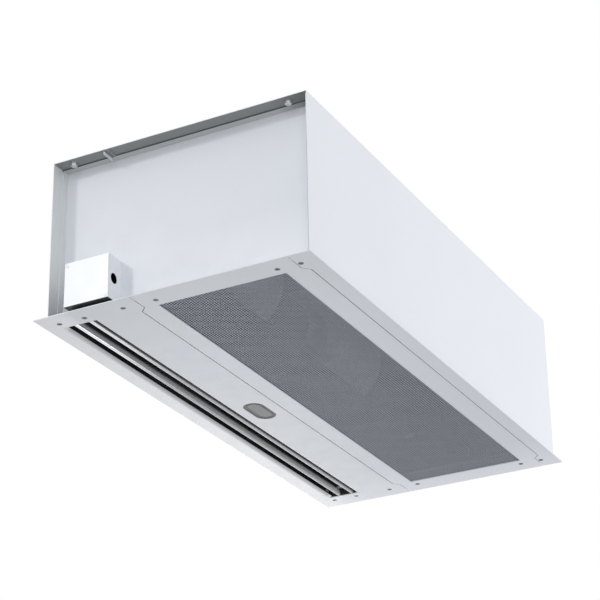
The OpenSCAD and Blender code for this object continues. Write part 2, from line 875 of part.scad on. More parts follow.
module fan_deck() {
    color("silver") difference() {
        union() {
            block([-web_in, web_in], [front_in, deck_rear], [deck_z, deck_top]);
            both_ends() block([deck_flange_x, web_in], [front_in, deck_rear],
                [deck_z - deck_flange_h, deck_top]);
        }
        both_ends() block([outlet_x0, outlet_x1], [shaft_y + outlet_front, shaft_y + outlet_rear],
            [deck_z - cut, deck_top + cut]);
        translate([deck_hole_x, box_mid, deck_z - cut]) cylinder(r = wire_hole_r, h = sheet_t + 2 * cut);
    }
}

// A quarter of a disc: centre, radius and the signs of the quadrant it fills
module quarter(centre, r, sy, sz) {
    translate(centre) intersection() {
        circle(r = r);
        translate([sy > 0 ? 0 : -2 * r, sz > 0 ? 0 : -2 * r]) square(2 * r);
    }
}

// The inside of a scroll about the shaft, grown outwards by g
module scroll_outline(g) {
    quarter([corner, corner], r_low + g, 1, -1);
    quarter([-corner, corner], r_rear + g, 1, 1);
    quarter([-corner, -corner], r_top + g, -1, 1);
    intersection() {
        translate([corner, -corner]) circle(r = r_start + g);
        translate([outlet_rear, -2 * r_start]) square([corner - outlet_rear, 2 * r_start - corner]);
    }
    translate([outlet_front - g, outlet_floor])
        square([outlet_rear - outlet_front + 2 * g, -corner - outlet_floor]);
    translate([outlet_rear, -corner]) square([corner - outlet_rear, 2 * corner]);
    translate([-corner, -corner - eps]) square([2 * corner, 2 * corner + 2 * eps]);
}

module scroll_wrap() {
    at_shaft() along_x(outlet_x0, outlet_x1) difference() {
        scroll_outline(scroll_t);
        scroll_outline(0);
    }
}

module scroll_sides() {
    at_shaft() for (x = [scroll_x0, outlet_x1]) difference() {
        along_x(x, x + scroll_t) scroll_outline(scroll_t);
        rod_x(inlet_r + inlet_curve + ring_hole_gap, x - cut, x + scroll_t + cut);
    }
}

// An inlet ring: a flat flange outside the scroll's side and a curved throat inside it
module inlet_ring() {
    about_x() {
        translate([inlet_r + inlet_curve, 0]) square([ring_flange_w, scroll_t]);
        intersection() {
            translate([inlet_r + inlet_curve, scroll_t - inlet_curve]) difference() {
                circle(r = inlet_curve);
                circle(r = inlet_curve - scroll_t);
            }
            translate([inlet_r, scroll_t - inlet_curve]) square([inlet_curve + eps, inlet_curve]);
        }
    }
}

module inlet_rings() {
    at_shaft() {
        translate([scroll_x1, 0, 0]) inlet_ring();
        translate([scroll_x0, 0, 0]) mirror([1, 0, 0]) inlet_ring();
    }
}

module scroll_wrap_service() {
    color("silver") scroll_wrap();
}

module scroll_wrap_blank() {
    color("silver") mirror([1, 0, 0]) scroll_wrap();
}

module scroll_sides_service() {
    color("silver") scroll_sides();
}

module scroll_sides_blank() {
    color("silver") mirror([1, 0, 0]) scroll_sides();
}

module inlet_rings_service() {
    color("gainsboro") inlet_rings();
}

module inlet_rings_blank() {
    color("gainsboro") mirror([1, 0, 0]) inlet_rings();
}

// ---- Blower wheels ----

function bearing_of(v) = atan2(v[1], v[0]);

// The section of a forward-curved blade: its hollow side faces the way that the wheel turns
module blade_section() {
    inner = [wheel_r - blade_d, 0];
    outer = (wheel_r - wheel_ring_t / 2) * [cos(blade_lead), sin(blade_lead)];
    half = norm(outer - inner) / 2;
    centre = (inner + outer) / 2 + unit(left_of(outer - inner)) * sqrt(blade_r * blade_r - half * half);
    a0 = bearing_of(inner - centre);
    a1 = bearing_of(outer - centre);
    polygon(concat(arc(centre, blade_r, a0, a1, blade_steps),
        arc(centre, blade_r - blade_t, a1, a0, blade_steps)));
}

module blower_wheel() {
    at_shaft() difference() {
        union() {
            along_x(wheel_x0 + end_inset, wheel_x1 - end_inset)
                for (i = [0:blade_n - 1]) rotate(i * 360 / blade_n) blade_section();
            rod_x(wheel_r - blade_d / 2, blower_x - disc_t / 2, blower_x + disc_t / 2);
            for (x = [wheel_x0, wheel_x1 - wheel_ring_w]) difference() {
                rod_x(wheel_r, x, x + wheel_ring_w);
                rod_x(wheel_r - wheel_ring_t, x - cut, x + wheel_ring_w + cut);
            }
            rod_x(hub_r, blower_x - hub_half, blower_x + hub_half);
        }
        rod_x(shaft_r, wheel_x0 - cut, wheel_x1 + cut);
        translate([blower_x + hub_half / 2, 0, 0]) cylinder(r = set_screw_r, h = hub_r + cut);
    }
}

module blower_wheel_service() {
    color("darkgray") blower_wheel();
}

module blower_wheel_blank() {
    color("darkgray") mirror([1, 0, 0]) blower_wheel();
}

module hub_set_screws() {
    color("dimgray") at_shaft() both_ends() translate([blower_x + hub_half / 2, 0, shaft_r + set_screw_gap])
        cylinder(r = set_screw_r, h = hub_r - shaft_r - set_screw_gap - set_screw_sink);
}

// ---- Motor ----

// The four lines of the motor's through bolts
module at_bolts() {
    for (turn = [45, 135, 225, 315]) rotate([turn, 0, 0]) translate([0, 0, bolt_circle]) children();
}

module motor_shaft() {
    color("silver") at_shaft() rod_x(shaft_r, -shaft_half, shaft_half);
}

module rotor_core() {
    color("gray") at_shaft() difference() {
        rod_x(rotor_r, -core_half - rotor_over, core_half + rotor_over);
        rod_x(shaft_r, -core_half - rotor_over - cut, core_half + rotor_over + cut);
    }
}

module stator_core() {
    color("dimgray") at_shaft() difference() {
        rod_x(motor_r - motor_t, -core_half, core_half);
        rod_x(stator_in, -core_half - cut, core_half + cut);
        at_bolts() rod_x(bolt_r, -core_half - cut, core_half + cut);
    }
}

module stator_windings() {
    color("peru") at_shaft() both_ends() about_x() translate([winding_r0, core_half])
        square([winding_r1 - winding_r0, winding_x - core_half]);
}

module motor_shell() {
    color("dimgray") at_shaft() difference() {
        rod_x(motor_r, -motor_half, motor_half);
        rod_x(motor_r - motor_t, -motor_half - cut, motor_half + cut);
        translate([lead_x, -motor_r - cut, 0]) rotate([-90, 0, 0])
            cylinder(r = loom_r + loom_gap, h = motor_t + 2 * cut);
    }
}

// One end bell: a dished end with a bearing seat and a neck for its rubber ring
module end_bell() {
    difference() {
        about_x() {
            rim = bell_x - bell_dish;
            translate([motor_r - bell_t, motor_half]) square([bell_t, rim - motor_half]);
            polygon([[motor_r - bell_t, rim - bell_t], [motor_r, rim - bell_t],
                [motor_r, rim], [neck_r, bell_x], [neck_r - bell_t, bell_x],
                [neck_r - bell_t, bell_x - bell_t]]);
            translate([bearing_r, bearing_x]) square([neck_r - bearing_r, bell_x - bearing_x]);
            translate([shaft_r + bell_bore_gap, bell_x])
                square([neck_r - shaft_r - bell_bore_gap, neck_x - bell_x]);
        }
        at_bolts() rod_x(bolt_r, motor_half - cut, bell_x + cut);
    }
}

module motor_end_bells() {
    color("gray") at_shaft() both_ends() end_bell();
}

module motor_bearings() {
    color("lightsteelblue") at_shaft() both_ends() difference() {
        rod_x(bearing_r, bell_x - bearing_w, bell_x);
        rod_x(shaft_r + run_gap, bell_x - bearing_w - cut, bell_x + cut);
    }
}

module motor_through_bolts() {
    tip = bolt_head_x + bolt_head_h;
    color("lightsteelblue") at_shaft() at_bolts() {
        rod_x(bolt_r, -tip, tip);
        both_ends() rod_x(bolt_head_r, bolt_head_x, tip);
    }
}

module rubber_rings() {
    color("black") at_shaft() both_ends() difference() {
        rod_x(ring_r, ring_x, ring_x + ring_w);
        rod_x(neck_r, ring_x - cut, ring_x + ring_w + cut);
    }
}

module motor_cradle() {
    foot = arm_x + cradle_foot_w;
    color("darkgray") difference() {
        union() {
            block([-foot, foot], [shaft_y - arm_half_w, shaft_y + arm_half_w],
                [deck_top, deck_top + cradle_t]);
            both_ends() block([arm_x, arm_x + cradle_t], [shaft_y - arm_half_w, shaft_y + arm_half_w],
                [deck_top, shaft_z]);
        }
        at_shaft() rod_x(ring_r, -foot - cut, foot + cut);
        for (x = cradle_bolt_xs, y = cradle_bolt_ys) translate([x, y, deck_top - cut])
            cylinder(r = cradle_bolt_r, h = cradle_t + 2 * cut);
    }
}

module cradle_bolts() {
    color("silver") for (x = cradle_bolt_xs, y = cradle_bolt_ys) translate([x, y, deck_top]) {
        cylinder(r = cradle_bolt_r, h = cradle_t);
        translate([0, 0, cradle_t]) cylinder(d = cradle_bolt_af / cos(30), h = cradle_bolt_h, $fn = 6);
    }
}

// The straps that hold the rubber rings down in the cradle
module cradle_clamps() {
    color("lightgray") at_shaft() both_ends() {
        x = [arm_x, arm_x + cradle_t];
        difference() {
            rod_x(ring_r + clamp_t, x[0], x[1]);
            rod_x(ring_r, x[0] - cut, x[1] + cut);
            block([x[0] - cut, x[1] + cut], [-2 * ring_r, 2 * ring_r], [-2 * ring_r, 0]);
        }
        for (side = [-1, 1]) scale([1, side, 1])
            block(x, [ring_r + clamp_t / 2, ring_r + clamp_ear], [0, clamp_t]);
    }
}

module capacitor() {
    color("gainsboro") translate([0, capacitor_y, deck_top + clip_sheet + capacitor_r]) {
        rod_x(capacitor_r, capacitor_x, capacitor_x + capacitor_l);
        for (y = capacitor_tabs) translate([0, y, 0])
            rod_x(capacitor_tab_r, capacitor_x + capacitor_l - eps,
                capacitor_x + capacitor_l + capacitor_tab_l);
    }
}

module capacitor_clip() {
    x = [capacitor_x + (capacitor_l - strap_w) / 2, capacitor_x + (capacitor_l + strap_w) / 2];
    reach = capacitor_r + clip_sheet;
    color("silver") translate([0, capacitor_y, deck_top + reach]) difference() {
        union() {
            rod_x(reach, x[0], x[1]);
            block(x, [-reach - clip_ear, reach + clip_ear], [-reach, -reach + clip_sheet]);
        }
        rod_x(capacitor_r, x[0] - cut, x[1] + cut);
    }
}

// ---- Junction box and wiring ----

module at_cover_screws() {
    for (c = cover_screw_spots) translate([0, c[0], c[1]]) children();
}

module junction_box() {
    x = [web_x, cover_x];
    color("whitesmoke") difference() {
        union() {
            difference() {
                block(x, [box_y0, box_y1], [box_z0, box_z1]);
                block([x[0] + box_t, x[1] + cut], [box_y0 + box_t, box_y1 - box_t],
                    [box_z0 + box_t, box_z1 - box_t]);
            }
            at_cover_screws() rod_x(box_lug / 2, x[0] + box_t - eps, x[1]);
        }
        at_cover_screws() rod_x(screw_r, x[1] - cover_screw_l - tap_over, x[1] + cut);
        translate([0, box_mid, box_zm]) rod_x(wire_hole_r, x[0] - cut, x[0] + box_t + cut);
        translate([knockout_x, box_y1 + cut, box_zm]) rotate([90, 0, 0])
            cylinder(r = knockout_r, h = box_t + 2 * cut);
    }
}

module junction_box_cover() {
    color("white") difference() {
        block([cover_x, end_x], [box_y0, box_y1], [box_z0, box_z1]);
        at_cover_screws() rod_x(screw_r + shank_gap, cover_x - cut, end_x + cut);
    }
}

module cover_screws() {
    color("white") at_cover_screws() difference() {
        union() {
            rod_x(screw_r, cover_x - cover_screw_l, end_x);
            rod_x(cover_head_r, end_x, end_x + cover_head_h);
        }
        translate([end_x + cover_head_h, 0, 0]) cube([cover_head_h, slot_blade, cover_slot_l], center = true);
    }
}

module terminal_block() {
    color("ivory") {
        x = [web_x + box_t, web_x + box_t + block_d];
        y = [box_mid - block_w / 2, box_mid + block_w / 2];
        difference() {
            block(x, y, [block_z, block_z + block_h]);
            for (i = [0:terminal_n - 1]) {
                yi = y[0] + (i + 0.5) * block_w / terminal_n;
                translate([0, yi, block_z + block_h / 2])
                    rod_x(terminal_r, x[1] - terminal_screw_d, x[1] + cut);
                translate([x[0] + block_d / 2, yi, block_z - cut])
                    cylinder(r = terminal_r, h = terminal_wire_d + cut);
            }
        }
    }
}

module earth_screw() {
    x = web_x + box_t;
    color("green") translate([0, earth_y, earth_z]) {
        rod_x(earth_r, x, x + earth_l);
        translate([x + earth_l - eps, 0, 0]) rotate([0, 90, 0])
            cylinder(r = earth_head_r, h = earth_head_h, $fn = 6);
    }
}

// A rubber bush between two faces along its own axis, with a lip on each face
module grommet(thick) {
    difference() {
        union() {
            cylinder(r = wire_hole_r, h = thick);
            translate([0, 0, -grommet_t]) cylinder(r = wire_hole_r + grommet_lip, h = grommet_t);
            translate([0, 0, thick]) cylinder(r = wire_hole_r + grommet_lip, h = grommet_t);
        }
        translate([0, 0, -grommet_t - cut])
            cylinder(r = loom_r + loom_gap, h = thick + 2 * grommet_t + 2 * cut);
    }
}

module box_grommet() {
    color("black") translate([web_in, box_mid, box_zm]) rotate([0, 90, 0]) grommet(sheet_t + box_t);
}

module deck_grommet() {
    color("black") translate([deck_hole_x, box_mid, deck_z]) grommet(sheet_t);
}

// A smooth curve through the loom's points, and a tube of flat sides along it
function curve_point(p, i, t) =
    let (a = p[max(i - 1, 0)], b = p[i], c = p[i + 1], d = p[min(i + 2, len(p) - 1)])
    0.5 * (2 * b + (c - a) * t + (2 * a - 5 * b + 4 * c - d) * t * t + (3 * b - a - 3 * c + d) * t * t * t);
function smooth(p, n) = concat(
    [for (i = [0:len(p) - 2], k = [0:n - 1]) curve_point(p, i, k / n)], [p[len(p) - 1]]);
function tangent(p, i) = unit(p[min(i + 1, len(p) - 1)] - p[max(i - 1, 0)]);
function carried(p, i, n) = let (t = tangent(p, i)) unit(n - t * (n * t));
function normals(p, i, n) = i == len(p) ? []
    : let (m = carried(p, i, n)) concat([m], normals(p, i + 1, m));

module tube_along(p, r, sides) {
    side = normals(p, 0, [0, 1, 0]);
    rings = [for (i = [0:len(p) - 1]) let (n = side[i], b = cross(tangent(p, i), n))
        for (k = [0:sides - 1]) p[i] + r * (cos(360 * k / sides) * n + sin(360 * k / sides) * b)];
    last = (len(p) - 1) * sides;
    polyhedron(rings, concat(
        [[for (k = [sides - 1:-1:0]) k]],
        [for (i = [0:len(p) - 2], k = [0:sides - 1]) let (q = (k + 1) % sides)
            [i * sides + k, i * sides + q, (i + 1) * sides + q, (i + 1) * sides + k]],
        [[for (k = [0:sides - 1]) last + k]]));
}

module motor_loom() {
    color("dimgray") tube_along(smooth(loom_points, loom_steps), loom_r, loom_sides);
}

cabinet_shell();
end_panel_service();
end_panel_blank();
hanger_nuts();
cable_tab();
discharge_panel();
intake_panel();
intake_screen();
screen_retainers();
rear_trim_strip();
discharge_screws();
trim_screws();
intake_screws();
screw_clips();
hinge_rail();
fixed_hinge_leaves();
moving_hinge_leaves();
hinge_pins();
badge();
badge_inlay();
nozzle_front_wall();
plenum_rear_wall();
vane_brackets();
front_vane();
rear_vane();
front_vane_pins();
rear_vane_pins();
fan_deck();
scroll_wrap_service();
scroll_wrap_blank();
scroll_sides_service();
scroll_sides_blank();
inlet_rings_service();
inlet_rings_blank();
blower_wheel_service();
blower_wheel_blank();
hub_set_screws();
motor_shaft();
rotor_core();
stator_core();
stator_windings();
motor_shell();
motor_end_bells();
motor_bearings();
motor_through_bolts();
rubber_rings();
motor_cradle();
cradle_clamps();
cradle_bolts();
capacitor();
capacitor_clip();
junction_box();
junction_box_cover();
cover_screws();
terminal_block();
earth_screw();
box_grommet();
deck_grommet();
motor_loom();
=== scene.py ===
import math

import bpy
from mathutils import Matrix, Vector


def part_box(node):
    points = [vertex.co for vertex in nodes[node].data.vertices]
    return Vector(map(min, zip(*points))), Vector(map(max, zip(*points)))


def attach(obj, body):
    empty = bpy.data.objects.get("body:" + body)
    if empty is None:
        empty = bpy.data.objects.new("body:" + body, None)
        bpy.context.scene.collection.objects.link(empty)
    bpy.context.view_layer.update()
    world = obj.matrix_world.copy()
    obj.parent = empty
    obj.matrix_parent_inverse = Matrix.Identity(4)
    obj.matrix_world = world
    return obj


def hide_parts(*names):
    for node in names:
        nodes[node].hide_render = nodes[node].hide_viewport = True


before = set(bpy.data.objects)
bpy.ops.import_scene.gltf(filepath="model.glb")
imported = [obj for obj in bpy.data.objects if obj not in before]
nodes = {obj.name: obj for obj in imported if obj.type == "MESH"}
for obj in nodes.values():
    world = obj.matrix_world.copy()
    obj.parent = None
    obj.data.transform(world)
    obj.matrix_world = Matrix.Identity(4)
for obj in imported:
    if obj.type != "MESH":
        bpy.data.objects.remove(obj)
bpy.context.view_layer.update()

scene = bpy.context.scene


class Wire:
    # one output socket, so that shader maths can be written as sums
    def __init__(self, owner, socket):
        self.owner = owner
        self.socket = socket

    def maths(self, operation, first, second=0.0, clamp=False):
        settings = {"operation": operation, "use_clamp": clamp}
        return self.owner.add("ShaderNodeMath", settings, {0: first, 1: second})

    def __add__(self, other):
        return self.maths("ADD", self, other)

    def __radd__(self, other):
        return self.maths("ADD", other, self)

    def __sub__(self, other):
        return self.maths("SUBTRACT", self, other)

    def __rsub__(self, other):
        return self.maths("SUBTRACT", other, self)

    def __mul__(self, other):
        return self.maths("MULTIPLY", self, other)

    def __rmul__(self, other):
        return self.maths("MULTIPLY", other, self)

    def __gt__(self, other):
        return self.maths("GREATER_THAN", self, other)

    def __lt__(self, other):
        return self.maths("LESS_THAN", self, other)

    def clamped(self):
        return self.maths("ADD", self, 0.0, clamp=True)

    def size(self):
        return self.maths("ABSOLUTE", self)

    def sine(self):
        return self.maths("SINE", self)

    def about(self, middle, width):
        # turns 0 to 1 into a range of this width about its middle
        return self * width + (middle - width / 2)


class Nodes:
    # the nodes of one material, or of the world
    def __init__(self, holder):
        holder.use_nodes = True
        self.tree = holder.node_tree
        self.tree.nodes.clear()

    def add(self, kind, settings=None, values=None, out=0):
        node = self.tree.nodes.new(kind)
        for key, value in (settings or {}).items():
            setattr(node, key, value)
        for key, value in (values or {}).items():
            if isinstance(value, Wire):
                self.tree.links.new(value.socket, node.inputs[key])
            else:
                node.inputs[key].default_value = value
        return Wire(self, node.outputs[out]) if node.outputs else None


class Finish(Nodes):
    # one material: its Principled shader, and what feeds it
    def __init__(self, name, steady=None):
        self.material = bpy.data.materials.new(name)
        super().__init__(self.material)
        self.shader = self.add("ShaderNodeBsdfPrincipled", None, steady)
        self.add("ShaderNodeOutputMaterial", None, {0: self.shader})
        self.place = self.add("ShaderNodeTexCoord", out="Object")

    def feed(self, **wires):
        for name, wire in wires.items():
            socket = self.shader.socket.node.inputs[name.replace("_", " ")]
            self.tree.links.new(wire.socket, socket)

    def stretched(self, stretch):
        if not stretch:
            return self.place
        return self.add("ShaderNodeVectorMath", {"operation": "MULTIPLY"},
                        {0: self.place, 1: stretch})

    def noise(self, scale, detail=2.0, rough=0.5, stretch=None):
        return self.add("ShaderNodeTexNoise", None, {
            "Vector": self.stretched(stretch), "Scale": scale,
            "Detail": detail, "Roughness": rough})

    def cells(self, scale, out="Color", stretch=None):
        return self.add("ShaderNodeTexVoronoi", None,
                        {"Vector": self.stretched(stretch), "Scale": scale}, out)

    def ranged(self, value, low, high):
        # 0 at low and 1 at high, and flat beyond them
        return self.add("ShaderNodeMapRange", {"clamp": True},
                        {"Value": value, "From Min": low, "From Max": high})

    def mixed(self, factor, colourA, colourB):
        pair = [c if isinstance(c, Wire) else (*c, 1) for c in (colourA, colourB)]
        return self.add("ShaderNodeMix", {"data_type": "RGBA"},
                        {0: factor, 6: pair[0], 7: pair[1]}, 2)

    def axis(self, letter, of=None):
        return self.add("ShaderNodeSeparateXYZ", None, {0: of or self.place}, letter)

    def facing(self):
        return self.add("ShaderNodeNewGeometry", out="Normal")

    def rounded(self, radius):
        return self.add("ShaderNodeBevel", {"samples": 4}, {"Radius": radius})

    def edges(self, rounded, amount=6.0):
        # 0 on flat faces, up to 1 at their edges
        same = self.add("ShaderNodeVectorMath", {"operation": "DOT_PRODUCT"},
                        {0: rounded, 1: self.facing()}, "Value")
        return ((1 - same) * amount).clamped()

    def bump(self, height, distance, strength, normal=None):
        values = {"Height": height, "Distance": distance, "Strength": strength}
        if normal:
            values["Normal"] = normal
        return self.add("ShaderNodeBump", None, values)


def shade(colour, factor):
    return tuple(c * factor for c in colour)


paintLook = {
    "rough": 0.36,
    "specular": 0.45,
    "edge": 0.0007,         # radius of the sheet's folds
    "cloudScale": 5,
    "speckScale": 140,
    "mottle": 0.05,         # how far the colour strays
    "peelScale": 620,       # the coat's orange peel
    "peelDepth": 0.000035,
    "dullScale": 26,
    "wearScale": 40,
    "wearPatches": (0.42, 0.62),
    "wornTone": 0.72,
}
paintColours = {
    "white": (0.79, 0.82, 0.875),
    "flange": (0.705, 0.735, 0.80),
    # painted shade and painted light along the flange
    "flangeNearShade": (0.66, 0.695, 0.745),
    "flangeFarLight": (0.82, 0.855, 0.92),
    # painted light on the strip in front of the slot, and painted shade on it towards the
    # service end
    "strip": (0.94, 0.965, 1.0),
    "stripNearShade": (0.79, 0.815, 0.855),
    # painted shade on the slot's front lip
    "lip": (0.26, 0.27, 0.285),
    # painted shade inside the chamber
    "chamberShade": (0.085, 0.088, 0.095),
    "recess": (0.70, 0.73, 0.785),
    # painted shade in the recesses, under the top and under the junction box, with painted light
    # low on the end panels' webs
    "under": (0.25, 0.262, 0.264),
    "head": (0.52, 0.545, 0.54),
    "rim": (0.74, 0.765, 0.77),
    "rimFoot": (0.50, 0.51, 0.52),
    "gap": (0.13, 0.145, 0.14),
    "webFoot": (0.79, 0.815, 0.865),
    "cutEdge": (0.52, 0.54, 0.57),
    "shadow": (0.03, 0.03, 0.033),
    "screen": (0.325, 0.35, 0.415),
    "box": (0.92, 0.95, 0.97),
}


def powderCoat(name, colour, rough=paintLook["rough"], inside=None):
    # inside names masks and the colours that lie within them, the last one on top
    f = Finish(name, {"Specular IOR Level": paintLook["specular"]})
    cloud = f.noise(paintLook["cloudScale"], 4)
    speck = f.noise(paintLook["speckScale"])
    peel = f.noise(paintLook["peelScale"])
    edge = f.rounded(paintLook["edge"])
    patches = f.ranged(f.noise(paintLook["wearScale"], 3), *paintLook["wearPatches"])
    wear = f.edges(edge) * patches
    mottle = paintLook["mottle"]
    tone = f.mixed(cloud * 0.7 + speck * 0.3, shade(colour, 1 - mottle),
                   shade(colour, 1 + mottle * 0.5))
    tone = f.mixed(wear * 0.35, tone, shade(colour, paintLook["wornTone"]))
    for where, key in (inside or {}).items():
        tone = f.mixed(where(f), tone, paintColours[key])
    dull = f.noise(paintLook["dullScale"], 3).about(rough, 0.16)
    f.feed(Base_Color=tone, Roughness=dull + wear * 0.15,
           Normal=f.bump(peel, paintLook["peelDepth"], 0.6, edge))
    return f.material


# Most of these masks paint in light and shade that the photograph shows. They go by the
# place on the object, so that shade stays where it is under any other light.
# The limits lie a little to one side of the sheets' faces.
planes = {
    "frontSkin": -0.2862,   # behind the outer face of the front wall
    "rearSkin": 0.2922,     # in front of the outer face of the rear wall
    "topSkin": 0.3557,      # under the outer face of the top
    "topSheet": 0.3552,     # within the thickness of the top
    "topFace": 0.3520,      # under the inner face of the top
    "headFace": 0.3505,     # under the end panels' upper flanges
    "tabFace": 0.3510,      # under the folded tab's foot
    "panelFace": 0.5562,    # beyond the end panels' outer faces
    "panelBack": 0.55455,   # beyond the end panels' inner faces
    "stepFace": 0.5705,     # behind the outer face of the end panels' steps
    "wallEnd": 0.6032,      # behind the cut ends of the walls
    "rimBack": -0.27,
    "cutEdgeFront": 0.2895,
    "lipBack": -0.25,
}
# where a tone begins, and where it is full
fades = {
    "rimFoot": (0.10, 0.03),
    "rearCorner": (0.21, 0.30),
    "webLow": (0.15, 0.04),
    "webRear": (-0.05, 0.22),
    "cutEdge": (0.30, 0.24),
    "serviceEndShade": (0.35, 0.62),
    "blankEndLight": (-0.45, -0.62),
    "strip": (-0.225, -0.270),
    "stripNearShade": (-0.3, 0.6),
    "lipEnd": (0.557, 0.552),
    "lipRoll": (-0.275, -0.262),
}
headEnd = 0.573             # where the end panels' upper flanges end
headShadeLine = {"inner": 0.0012, "full": 0.001, "outer": 0.004}  # the painted shade line about that end


def inRecess(f):
    # beyond the end panels, at both ends
    return f.axis("X").size() > planes["panelFace"]


def underside(f):
    # under the top and between the walls, with the end panels' upper flanges
    y, z = f.axis("Y"), f.axis("Z")
    return ((z > planes["headFace"]) * (z < planes["topSheet"])
            * (y > planes["frontSkin"]) * (y < planes["rearSkin"]))


def insideShell(f):
    # painted shade: the side of the shell's sheet that faces the chamber is painted nearly black
    x, y, z = f.axis("X").size(), f.axis("Y"), f.axis("Z")
    return ((y > planes["frontSkin"]) * (y < planes["rearSkin"])
            * (z < planes["topSkin"]) * (x < planes["panelFace"]))


def underTop(f):
    # shade on the underside of the top in the recesses
    return (f.axis("Z") > planes["topFace"]) * (f.axis("Z", f.facing()) < -0.5) * inRecess(f)


def frontRim(f):
    # shade on the front wall's inner side at the service end, and on the flange there
    return ((f.axis("Y") < planes["rimBack"]) * (f.axis("Y", f.facing()) > 0.5)
            * (f.axis("X") > planes["panelFace"]))


def rimFoot(f):
    # painted shade: that side gets darker towards its foot
    return frontRim(f) * f.ranged(f.axis("Z"), *fades["rimFoot"])


def panelHead(f):
    # shade on the upper flange of an end panel
    return (f.axis("Z") > planes["headFace"]) * inRecess(f)


def headJoint(f):
    # the shaded line where that flange ends under the top
    x = f.axis("X").size()
    line = f.ranged(x, headEnd + headShadeLine["outer"], headEnd + headShadeLine["full"])
    return underside(f) * (x > headEnd - headShadeLine["inner"]) * line


def rearCorner(f):
    # painted shade: the underside of the top gets darker towards its rear corners
    return underside(f) * inRecess(f) * f.ranged(f.axis("Y"), *fades["rearCorner"])


def webFoot(f):
    # the end panel's web is lit more low down and towards the rear
    y, z = f.axis("Y"), f.axis("Z")
    web = (f.axis("X", f.facing()) > 0.5) * (z < planes["headFace"])
    return web * f.ranged(z, *fades["webLow"]) * f.ranged(y, *fades["webRear"])


def rearCutEdge(f):
    # painted shade on the cut edge of the rear wall at the service end, darker low down
    x, y, z = f.axis("X"), f.axis("Y"), f.axis("Z")
    edge = (x > planes["wallEnd"]) * (y > planes["cutEdgeFront"])
    return edge * f.ranged(z, *fades["cutEdge"])


def serviceEndShade(f):
    # painted shade: the flange gets darker towards the service end
    return f.ranged(f.axis("X"), *fades["serviceEndShade"])


def blankEndLight(f):
    # painted light: the flange gets paler towards the blank end
    return f.ranged(f.axis("X"), *fades["blankEndLight"])


def frontStrip(f):
    # painted light: the strip in front of the slot, the palest part of the flange
    return f.ranged(f.axis("Y"), *fades["strip"])


def frontStripNearShade(f):
    # painted shade: that strip gets darker towards the service end
    return frontStrip(f) * f.ranged(f.axis("X"), *fades["stripNearShade"])


def frontLip(f):
    # painted shade: the slot's front lip gets darker towards its roll
    x, y = f.axis("X").size(), f.axis("Y")
    return ((y < planes["lipBack"]) * f.ranged(x, *fades["lipEnd"])
            * f.ranged(y, *fades["lipRoll"]))


def tabFoot(f):
    # painted shade on all of the folded tab but its upright tongue
    return f.axis("Z") > planes["tabFace"]


def insidePan(f):
    # painted shade: the side of an end panel that faces the chamber is painted nearly black
    return f.axis("X").size() < planes["panelBack"]


boxLow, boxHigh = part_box("junction_box")
boxLook = {"skin": 0.0008, "frontSlack": 0.0001, "footSlack": 0.0002,
           "shadeBeside": 0.002, "shadeFade": 0.014}


def insideBox(f):
    # painted shadow on every face of the box and its cover that lies within the outer faces
    within = f.axis("X") < boxHigh.x + boxLook["frontSlack"]
    for letter, low, high in zip("XYZ", boxLow, boxHigh):
        at = f.axis(letter)
        within = within * (at > low + boxLook["skin"])
        if letter != "X":
            within = within * (at < high - boxLook["skin"])
    return within


def belowBox(f):
    # the shaded underside of the junction box, and the foot of its end panel behind it
    x, y, z = f.axis("X"), f.axis("Y"), f.axis("Z")
    beside = boxLook["shadeBeside"]
    return ((x > planes["stepFace"]) * (y > boxLow.y - beside) * (y < boxHigh.y + beside)
            * (z < boxLow.z + boxLook["footSlack"]))


def deepBelowBox(f):
    # the shade there gets deeper towards the end panel
    return belowBox(f) * f.ranged(f.axis("X"), boxHigh.x, boxHigh.x - boxLook["shadeFade"])


zincLook = {"spangle": 95, "rough": 0.38, "scratchScale": 60, "scratchDepth": 0.00002,
            "edge": 0.0005, "dark": 0.74, "bright": 1.12}


def galvanised(name, colour, rough=zincLook["rough"], metal=1.0):
    # zinc crystals, each with its own grey and gloss, and long scratches
    f = Finish(name, {"Metallic": metal})
    crystal = f.cells(zincLook["spangle"])
    grey = f.axis("X", crystal)
    tilt = f.axis("Y", crystal)
    haze = f.noise(9, 4)
    scratch = f.noise(zincLook["scratchScale"], 3, 0.6, (1, 14, 14))
    tone = f.mixed(grey * 0.6 + haze * 0.4, shade(colour, zincLook["dark"]),
                   shade(colour, zincLook["bright"]))
    f.feed(Base_Color=tone, Roughness=tilt * 0.16 + haze * 0.12 + (rough - 0.14),
           Normal=f.bump(scratch + grey * 0.4, zincLook["scratchDepth"], 0.5,
                         f.rounded(zincLook["edge"])))
    return f.material


drawnLook = {"anisotropy": 0.35, "lineScale": 22, "lineDepth": 0.000006, "edge": 0.0004}


def drawnLines(f, stretch):
    # fine lines along a drawn or extruded piece
    return f.noise(drawnLook["lineScale"], 4, 0.65, stretch)


def drawnSurface(f, lines):
    return f.bump(lines, drawnLook["lineDepth"], 0.5, f.rounded(drawnLook["edge"]))


def polished(name, colour, rough, stretch):
    f = Finish(name, {"Metallic": 1.0, "Anisotropic": drawnLook["anisotropy"]})
    lines = drawnLines(f, stretch)
    haze = f.noise(7, 3)
    tone = f.mixed(lines * 0.7 + haze * 0.3, shade(colour, 0.86), shade(colour, 1.06))
    f.feed(Base_Color=tone, Roughness=lines * 0.1 + haze * 0.08 + (rough - 0.09),
           Normal=drawnSurface(f, lines))
    return f.material


